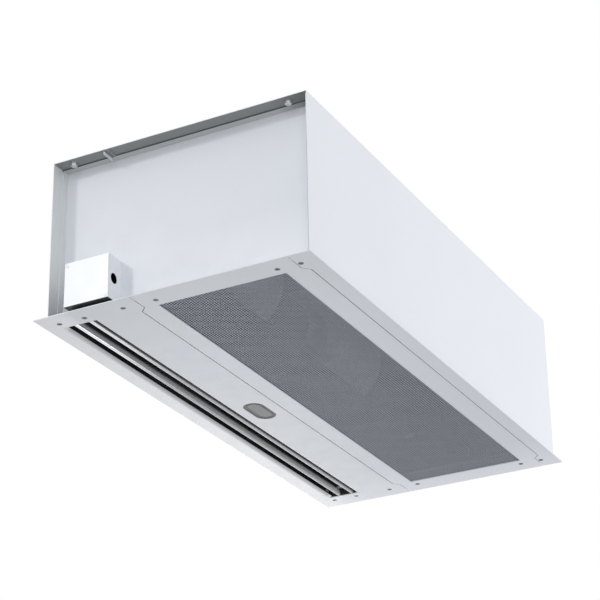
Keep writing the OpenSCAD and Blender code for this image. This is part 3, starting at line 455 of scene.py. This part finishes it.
vaneLook = {
    "nose": (0.55, 0.56, 0.58),
    "noseHighlight": (0.97, 0.975, 0.985),
    "tail": (0.02, 0.02, 0.022),
    "line": (0.4, 0.4, 0.42),
    "rough": 0.36,
    "metal": 0.12,
    "highlightRamp": (0.22, 0.45),        # along the vane, where the painted highlight on its nose grows
    "tailFoot": (0.012, 0.0185),    # up the vane, where the painted shade on its tail grows
    # painted light on the front vane's flank, and painted shade on the rear vane's
    "front": {"paintedFlank": (0.90, 0.91, 0.94), "noseTop": (0.0025, 0.007), "highlightMetal": 0.6},
    "rear": {"paintedFlank": (0.43, 0.44, 0.46), "noseTop": (0.0018, 0.0055), "highlightMetal": 0.2},
}


def vaneMetal(name, side):
    # the photograph's tones as painted light and shade: a grey nose with a painted highlight
    # and sheen towards the service end, a flank painted light on the front vane and painted
    # shade on the rear one, and a tail with painted shade, dark because it lies deep in the slot
    look = vaneLook[side]
    f = Finish(name, {"Anisotropic": drawnLook["anisotropy"]})
    x, z = f.axis("X"), f.axis("Z")
    lines = drawnLines(f, (0.4, 90, 90))
    highlight, above = f.ranged(x, *vaneLook["highlightRamp"]), f.ranged(z, *look["noseTop"])
    nose = f.mixed(highlight, vaneLook["nose"], vaneLook["noseHighlight"])
    tone = f.mixed(above, nose, look["paintedFlank"])
    tone = f.mixed(f.ranged(z, *vaneLook["tailFoot"]), tone, vaneLook["tail"])
    tone = f.mixed(lines * 0.12, tone, vaneLook["line"])
    f.feed(Base_Color=tone, Metallic=highlight * (1 - above) * look["highlightMetal"] + vaneLook["metal"],
           Roughness=lines.about(vaneLook["rough"], 0.1), Normal=drawnSurface(f, lines))
    return f.material


platedLook = {"rough": 0.3, "stainScale": 420, "grainScale": 1500, "grainDepth": 0.00001,
              "edge": 0.0003, "dark": 0.72, "bright": 1.1, "rubbedAndGlint": 1.35}


def plated(name, colour, rough=platedLook["rough"]):
    # small zinc-plated hardware, with slight staining, and rubbed edges that are lighter, partly
    # as a painted glint
    f = Finish(name, {"Metallic": 1.0})
    stain = f.noise(platedLook["stainScale"], 3)
    edge = f.rounded(platedLook["edge"])
    tone = f.mixed(stain, shade(colour, platedLook["dark"]), shade(colour, platedLook["bright"]))
    tone = f.mixed(f.edges(edge) * 0.5, tone, shade(colour, platedLook["rubbedAndGlint"]))
    grain = f.noise(platedLook["grainScale"])
    f.feed(Base_Color=tone, Roughness=stain.about(rough, 0.2),
           Normal=f.bump(grain, platedLook["grainDepth"], 0.5, edge))
    return f.material


mouldedLook = {"specular": 0.4, "grainScale": 900, "grainDepth": 0.00002, "edge": 0.0004}


def moulded(name, colour, rough, grain=mouldedLook["grainScale"]):
    f = Finish(name, {"Specular IOR Level": mouldedLook["specular"]})
    cloud = f.noise(30, 3)
    edge = f.rounded(mouldedLook["edge"])
    tone = f.mixed(cloud, shade(colour, 0.9), shade(colour, 1.1))
    tone = f.mixed(f.edges(edge) * 0.3, tone, shade(colour, 1.3))
    f.feed(Base_Color=tone, Roughness=cloud.about(rough, 0.12),
           Normal=f.bump(f.noise(grain), mouldedLook["grainDepth"], 0.6, edge))
    return f.material


coreLook = {"sheet": 0.0007, "depth": 0.00006, "rough": 0.45}


def laminated(name, colour):
    # a pack of thin punched sheets across the shaft
    f = Finish(name, {"Metallic": 1.0})
    sheets = (f.axis("X") * (2 * math.pi / coreLook["sheet"])).sine() * 0.5 + 0.5
    haze = f.noise(60, 3)
    tone = f.mixed(sheets * 0.6 + haze * 0.4, shade(colour, 0.55), shade(colour, 1.15))
    f.feed(Base_Color=tone, Roughness=haze.about(coreLook["rough"], 0.2),
           Normal=f.bump(sheets, coreLook["depth"], 0.7))
    return f.material


windingLook = {"strandScale": 900, "depth": 0.0003, "rough": 0.35}


def wound(name, colour):
    # varnished wire, lying round the shaft
    f = Finish(name, {"Metallic": 0.85, "Coat Weight": 0.6, "Coat Roughness": 0.2})
    strands = f.cells(windingLook["strandScale"], "Distance", (1, 0.35, 0.35))
    haze = f.noise(40, 3)
    tone = f.mixed(haze, shade(colour, 0.6), shade(colour, 1.25))
    f.feed(Base_Color=tone, Roughness=haze.about(windingLook["rough"], 0.2),
           Normal=f.bump(strands, windingLook["depth"], 0.7))
    return f.material


sleeveLook = {"along": 900, "around": 75.4, "depth": 0.00025}


def sleeved(name, colour):
    # a braided sleeve: two crossing sets of strands, along and round the tube
    f = Finish(name, {"Specular IOR Level": 0.35})
    at = f.add("ShaderNodeUVMap", {"uv_map": "sleeve"})
    along = f.axis("X", at) * sleeveLook["along"]
    around = f.axis("Y", at) * sleeveLook["around"]
    weave = ((along + around).sine() * 0.5 + 0.5) * ((along - around).sine() * 0.5 + 0.5)
    tone = f.mixed(weave, shade(colour, 0.5), shade(colour, 1.7))
    f.feed(Base_Color=tone, Roughness=0.75 - weave * 0.2,
           Normal=f.bump(weave, sleeveLook["depth"], 0.8))
    return f.material


# the inner pieces' colours are guesses: walls about the slot painted nearly black as painted
# shade, and pale scrolls behind the screen
pieceColours = {
    "slotShade": (0.03, 0.031, 0.034),
    "motor": (0.05, 0.052, 0.056),
    "groundSteel": (0.62, 0.63, 0.65),
    "can": (0.72, 0.73, 0.74),
    "zinc": (0.60, 0.62, 0.64),
    "scroll": (0.86, 0.88, 0.93),
    "wheel": (0.50, 0.52, 0.54),
    "blackScrew": (0.12, 0.12, 0.126),
    "nut": (0.78, 0.79, 0.81),
    "zincScrew": (0.42, 0.43, 0.45),
    "badgeRim": (0.06, 0.062, 0.066),
    "badgeInlay": (0.215, 0.222, 0.235),
    "core": (0.36, 0.37, 0.39),
    "winding": (0.55, 0.28, 0.12),
    "rubber": (0.025, 0.025, 0.026),
    "block": (0.74, 0.70, 0.60),
    "earth": (0.05, 0.30, 0.10),
    "sleeve": (0.07, 0.07, 0.078),
}
recessShades = {headJoint: "gap", frontRim: "rim", rimFoot: "rimFoot", rearCorner: "gap"}
finishes = {
    powderCoat("cabinetPaint", paintColours["white"], inside={
        insideShell: "chamberShade", underTop: "under", **recessShades, rearCutEdge: "cutEdge"}): [
            "cabinet_shell"],
    powderCoat("recessPaint", paintColours["recess"], inside={
        insidePan: "chamberShade", panelHead: "head", **recessShades, webFoot: "webFoot",
        deepBelowBox: "shadow"}): [
            "end_panel_service", "end_panel_blank"],
    powderCoat("flangePaint", paintColours["flange"], inside={
        serviceEndShade: "flangeNearShade", blankEndLight: "flangeFarLight", frontStrip: "strip",
        frontStripNearShade: "stripNearShade", frontLip: "lip"}): [
            "discharge_panel", "intake_panel", "rear_trim_strip"],
    powderCoat("tabPaint", paintColours["white"], inside={tabFoot: "under"}): ["cable_tab"],
    powderCoat("boxPaint", paintColours["box"], 0.3, {
        belowBox: "gap", deepBelowBox: "shadow", insideBox: "shadow"}): [
            "junction_box", "junction_box_cover", "cover_screws"],
    # painted shade: the walls about the slot and the vanes' brackets are painted nearly black
    powderCoat("slotShadePaint", pieceColours["slotShade"], 0.5): [
        "nozzle_front_wall", "plenum_rear_wall", "vane_brackets"],
    powderCoat("motorPaint", pieceColours["motor"], 0.32): ["motor_shell", "motor_end_bells"],
    vaneMetal("frontVaneMetal", "front"): ["front_vane"],
    vaneMetal("rearVaneMetal", "rear"): ["rear_vane"],
    polished("groundSteel", pieceColours["groundSteel"], 0.22, (60, 6, 6)): [
        "motor_shaft", "motor_bearings"],
    polished("canMetal", pieceColours["can"], 0.3, (0.6, 40, 40)): ["capacitor"],
    galvanised("zincSheet", pieceColours["zinc"]): [
        "screen_retainers", "hinge_rail", "fixed_hinge_leaves", "moving_hinge_leaves",
        "fan_deck", "inlet_rings_service", "inlet_rings_blank", "motor_cradle",
        "cradle_clamps", "capacitor_clip"],
    galvanised("scrollZinc", pieceColours["scroll"], 0.55, 0.0): [
        "scroll_wrap_service", "scroll_wrap_blank", "scroll_sides_service",
        "scroll_sides_blank"],
    galvanised("wheelMetal", pieceColours["wheel"], 0.45): [
        "blower_wheel_service", "blower_wheel_blank"],
    plated("screwBlack", pieceColours["blackScrew"], 0.34): [
        "discharge_screws", "trim_screws", "intake_screws"],
    plated("nutZinc", pieceColours["nut"], 0.42): ["hanger_nuts"],
    plated("screwZinc", pieceColours["zincScrew"]): [
        "screw_clips", "hinge_pins", "front_vane_pins", "rear_vane_pins", "hub_set_screws",
        "motor_through_bolts", "cradle_bolts"],
    moulded("badgeRim", pieceColours["badgeRim"], 0.4): ["badge"],
    moulded("badgeInlay", pieceColours["badgeInlay"], 0.45): ["badge_inlay"],
    laminated("corePlates", pieceColours["core"]): ["rotor_core", "stator_core"],
    wound("windingWire", pieceColours["winding"]): ["stator_windings"],
    moulded("rubberBlack", pieceColours["rubber"], 0.75, 500): [
        "rubber_rings", "box_grommet", "deck_grommet"],
    moulded("blockIvory", pieceColours["block"], 0.45): ["terminal_block"],
    plated("earthGreen", pieceColours["earth"], 0.4): ["earth_screw"],
}
for finish, names in finishes.items():
    for name in names:
        mesh = nodes[name].data
        if not mesh.materials:
            mesh.materials.append(finish)
        for slot in nodes[name].material_slots:
            slot.material = finish
print("finishes:", len(finishes))


creaseAngle = math.radians(50)


def addPiece(name, points, faces, body, finish):
    mesh = bpy.data.meshes.new(name)
    mesh.from_pydata(points, [], faces)
    mesh.validate()
    mesh.shade_smooth()
    mesh.set_sharp_from_angle(angle=creaseAngle)
    piece = bpy.data.objects.new(name, mesh)
    scene.collection.objects.link(piece)
    mesh.materials.append(finish)
    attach(piece, body)
    return piece


screenLook = {"pitch": 0.00635, "rowStep": 0.0056, "holeRadius": 0.0026, "sides": 8,
              "columns": 178, "rows": 50, "rough": 0.42}


def perforatedSheet(firstColumn, lastColumn, low, high, atLeft, atRight):
    # cells in staggered rows, each with one round hole; plain borders round them
    pitch, step, radius = (screenLook[k] for k in ("pitch", "rowStep", "holeRadius"))
    rows, sides = screenLook["rows"], screenLook["sides"]
    half = pitch / 2
    left = -(screenLook["columns"] + 0.5) * half
    foot = (low.y + high.y) / 2 - rows * step / 2
    points, faces, known = [], [], {}

    def corner(i, j):
        # the lower point of a pair; the upper one follows it
        if (i, j) not in known:
            known[i, j] = len(points)
            for z in (low.z, high.z):
                points.append((left + i * half, foot + j * step, z))
        return known[i, j]

    def both(loop):
        # one face on the sheet's underside and the same on its upper side
        faces.append(loop[::-1])
        faces.append([k + 1 for k in loop])

    def wall(a, b):
        faces.append([a, b, b + 1, a + 1])

    def outer(x, y):
        points.extend([(x, y, low.z), (x, y, high.z)])
        return len(points) - 2

    def side(i, straight):
        # the end of the sheet, or the zigzag where its two halves meet
        line = [corner(i, 0)]
        for j in range(rows):
            x = i if straight else i + j % 2
            line += [k for k in (corner(x, j), corner(x, j + 1)) if k != line[-1]]
        return line

    # the point of a hole's rim that each corner of its cell looks at
    turn = 2 * math.pi / sides
    cellCorners = [(half, -step / 2), (half, step / 2), (0, 1),
                   (-half, step / 2), (-half, -step / 2), (0, -1)]
    spots = [round(math.atan2(y, x) / turn) for x, y in cellCorners]
    for j in range(rows):
        shift = j % 2
        for column in range(firstColumn, lastColumn):
            i = 2 * column + shift
            rim = [corner(i + 2, j), corner(i + 2, j + 1), corner(i + 1, j + 1),
                   corner(i, j + 1), corner(i, j), corner(i + 1, j)]
            middle = (left + (i + 1) * half, foot + (j + 0.5) * step)
            start = len(points)
            for k in range(sides):
                x = middle[0] + radius * math.cos(k * turn)
                y = middle[1] + radius * math.sin(k * turn)
                points.extend([(x, y, low.z), (x, y, high.z)])
            for k in range(6):
                a, b = spots[k] % sides, spots[(k + 1) % 6] % sides
                count = (b - a) % sides
                inner = [start + 2 * ((a + n) % sides) for n in range(count, -1, -1)]
                both([rim[k], rim[(k + 1) % 6]] + inner)
            for k in range(sides):
                wall(start + 2 * k, start + 2 * ((k + 1) % sides))
        # half a cell fills each row's shorter end
        if atLeft and shift:
            both([corner(0, j), corner(1, j), corner(1, j + 1), corner(0, j + 1)])
        if atRight and not shift:
            i = 2 * lastColumn
            both([corner(i, j), corner(i + 1, j), corner(i + 1, j + 1), corner(i, j + 1)])

    i0 = 0 if atLeft else 2 * firstColumn
    i1 = 2 * lastColumn + (1 if atRight else 0)
    front = [corner(i, 0) for i in range(i0, i1 + 1)]
    back = [corner(i, rows) for i in range(i0, i1 + 1)]
    x0 = low.x if atLeft else left + i0 * half
    x1 = high.x if atRight else left + i1 * half
    frontLeft, frontRight = outer(x0, low.y), outer(x1, low.y)
    backLeft, backRight = outer(x0, high.y), outer(x1, high.y)
    both([frontLeft, frontRight] + front[::-1])
    both(back + [backRight, backLeft])
    wall(frontLeft, frontRight)
    wall(backRight, backLeft)

    line = [frontLeft] + side(i0, atLeft) + [backLeft]
    if atLeft:
        both(line)
        wall(backLeft, frontLeft)
    else:
        for a, b in zip(line, line[1:]):
            wall(b, a)
    line = [frontRight] + side(i1, atRight) + [backRight]
    if atRight:
        both(line[::-1])
        wall(frontRight, backRight)
    else:
        for a, b in zip(line, line[1:]):
            wall(a, b)
    return points, faces


screenPaint = powderCoat("screenPaint", paintColours["screen"], screenLook["rough"])
screenLow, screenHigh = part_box("intake_screen")
middleColumn = screenLook["columns"] // 2
for name, first, last in (("screen_blank_half", 0, middleColumn),
                          ("screen_service_half", middleColumn, screenLook["columns"])):
    points, faces = perforatedSheet(first, last, screenLow, screenHigh, first == 0, first > 0)
    piece = addPiece(name, points, faces, "intake_door", screenPaint)
    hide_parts("intake_screen")
    print(name, len(faces), "faces")


loomLook = {"radius": 0.004, "sides": 16, "steps": 8}
# the loom's way in millimetres, from the junction box to the motor
loomRoute = [
    (569, -198.2, 53.8), (569, -198.2, 57.5), (570, -198.2, 64.3), (565, -198.2, 71.3),
    (556, -198.2, 72.3), (544, -198.2, 72.3), (534.5, -198.2, 78.3), (532.5, -198.2, 90.3),
    (532.5, -198.2, 118.5), (532.5, -198.2, 128), (524.5, -208.2, 134), (492.5, -269, 128),
    (442.5, -273.5, 127), (335, -273.5, 127), (135, -273.5, 127), (95, -267, 136),
    (68, -245, 165), (50, -209.3, 207), (50, -195.3, 215), (50, -186.3, 215)]


def smoothLine(route, steps):
    # a smooth curve through every point of the route
    line = []
    for i in range(len(route) - 1):
        a, b = route[max(i - 1, 0)], route[i]
        c, d = route[i + 1], route[min(i + 2, len(route) - 1)]
        for k in range(steps):
            t = k / steps
            line.append(0.5 * (2 * b + (c - a) * t + (2 * a - 5 * b + 4 * c - d) * t * t
                               + (3 * b - a - 3 * c + d) * t * t * t))
    return line + [route[-1]]


def tube(line, radius, sides):
    # rings of points carried along the line, its faces, and the length up to each ring
    points, faces, along = [], [], [0.0]
    across = Vector((0, 1, 0))
    for i, at in enumerate(line):
        ahead = (line[min(i + 1, len(line) - 1)] - line[max(i - 1, 0)]).normalized()
        across = (across - ahead * across.dot(ahead)).normalized()
        other = ahead.cross(across)
        if i:
            along.append(along[-1] + (at - line[i - 1]).length)
        for k in range(sides):
            angle = 2 * math.pi * k / sides
            points.append(at + radius * (math.cos(angle) * across + math.sin(angle) * other))
    for i in range(len(line) - 1):
        here, after = i * sides, (i + 1) * sides
        for k in range(sides):
            q = (k + 1) % sides
            faces.append((here + k, here + q, after + q, after + k))
    last = (len(line) - 1) * sides
    faces.append(tuple(reversed(range(sides))))
    faces.append(tuple(range(last, last + sides)))
    return points, faces, along


loomLine = smoothLine([Vector(p) / 1000 for p in loomRoute], loomLook["steps"])
points, faces, along = tube(loomLine, loomLook["radius"], loomLook["sides"])
loom = addPiece("loom_sleeve", points, faces, "cabinet",
                sleeved("loomSleeve", pieceColours["sleeve"]))
# the weave's map: metres along the tube, and one turn round it
sleeveMap = loom.data.uv_layers.new(name="sleeve")
for face in loom.data.polygons:
    ring, spot = divmod(face.index, loomLook["sides"])
    if ring < len(loomLine) - 1:
        for corner, loop in enumerate(face.loop_indices):
            u = along[ring + (1 if corner > 1 else 0)]
            v = (spot + (1 if corner in (1, 2) else 0)) / loomLook["sides"]
            sleeveMap.data[loop].uv = (u, v)
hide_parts("motor_loom")
print("loom:", round(along[-1], 3), "m")


# the photograph's view
cameraLook = {
    "at": (3.54215, 1.81587, -1.66023),
    "right": (-0.47171, 0.88161, -0.01578),
    "up": (0.37180, 0.21510, 0.90305),
    "forward": (-0.79953, -0.42010, 0.42925),
    "lens": 121.27,
    "sensor": 36,
    "clip": (0.05, 200),
}
camera = bpy.data.objects.new("camera", bpy.data.cameras.new("camera"))
scene.collection.objects.link(camera)
scene.camera = camera
right, up, forward = (Vector(cameraLook[k]) for k in ("right", "up", "forward"))
turned = Matrix((right, up, -forward)).transposed().to_4x4()
camera.matrix_world = Matrix.Translation(cameraLook["at"]) @ turned
camera.data.lens = cameraLook["lens"]
camera.data.sensor_width = cameraLook["sensor"]
camera.data.clip_start, camera.data.clip_end = cameraLook["clip"]


lamps = {
    "keyLamp": {"at": (3.6, -1.85, 1.55), "aim": (0.4, 0, 0.2), "size": 0.45, "power": 18},
    "fillLamp": {"at": (6.0, 2.2, 0.6), "aim": (0.5, 0, 0.1), "size": 4.5, "power": 104},
    "rearLamp": {"at": (-1.8, 4.4, 1.4), "aim": (-0.5, 0, 0.2), "size": 3.0, "power": 56},
    "lowLamp": {"at": (-1.7, 1.9, -0.9), "aim": (-0.2, -0.2, 0), "size": 0.8, "power": 10},
    "farLamp": {"at": (-7.5, -4.8, -2.3), "aim": (-0.4, -0.2, 0), "size": 2.4, "power": 50},
}
for name, look in lamps.items():
    data = bpy.data.lights.new(name, "AREA")
    data.size = look["size"]
    data.energy = look["power"]
    lamp = bpy.data.objects.new(name, data)
    scene.collection.objects.link(lamp)
    lamp.location = look["at"]
    aim = Vector(look["aim"]) - Vector(look["at"])
    lamp.rotation_euler = aim.to_track_quat("-Z", "Y").to_euler()
    lamp.visible_camera = False


studioLook = {
    "worldLevel": 0.62,
    "floorHeight": -5.5,
    "floorReach": 60,
    "floorColour": (0.86, 0.86, 0.86),
    "floorRough": 0.9,
    "floorSpecular": 0.1,
    "floorOwnWhite": 0.55,
}


def seenRays(tree):
    # 1 for camera, mirror and glass rays, so that they find a white studio
    camera, mirror, glass = (tree.add("ShaderNodeLightPath", out=f"Is {kind} Ray")
                             for kind in ("Camera", "Glossy", "Transmission"))
    either = camera.maths("MAXIMUM", camera, mirror)
    return either.maths("MAXIMUM", either, glass)


world = bpy.data.worlds.new("studio")
scene.world = world
sky = Nodes(world)
lit, seen = (sky.add("ShaderNodeBackground", None, {"Color": (1, 1, 1, 1), "Strength": level})
             for level in (studioLook["worldLevel"], 1.0))
either = sky.add("ShaderNodeMixShader", None, {0: seenRays(sky), 1: lit, 2: seen})
sky.add("ShaderNodeOutputWorld", None, {0: either})

scene.view_settings.view_transform = "Standard"

reach, height = studioLook["floorReach"], studioLook["floorHeight"]
floorMesh = bpy.data.meshes.new("floor")
floorMesh.from_pydata([(-reach, -reach, height), (reach, -reach, height),
                       (reach, reach, height), (-reach, reach, height)], [], [(0, 1, 2, 3)])
floor = bpy.data.objects.new("floor", floorMesh)
scene.collection.objects.link(floor)
floorPaper = bpy.data.materials.new("floorPaper")
paper = Nodes(floorPaper)
matt = paper.add("ShaderNodeBsdfPrincipled", None, {
    "Base Color": (*studioLook["floorColour"], 1), "Roughness": studioLook["floorRough"],
    "Specular IOR Level": studioLook["floorSpecular"]})
glow = paper.add("ShaderNodeEmission")
ownWhite = seenRays(paper) * studioLook["floorOwnWhite"]
blend = paper.add("ShaderNodeMixShader", None, {0: ownWhite, 1: matt, 2: glow})
paper.add("ShaderNodeOutputMaterial", None, {0: blend})
floorMesh.materials.append(floorPaper)
print("studio ready")
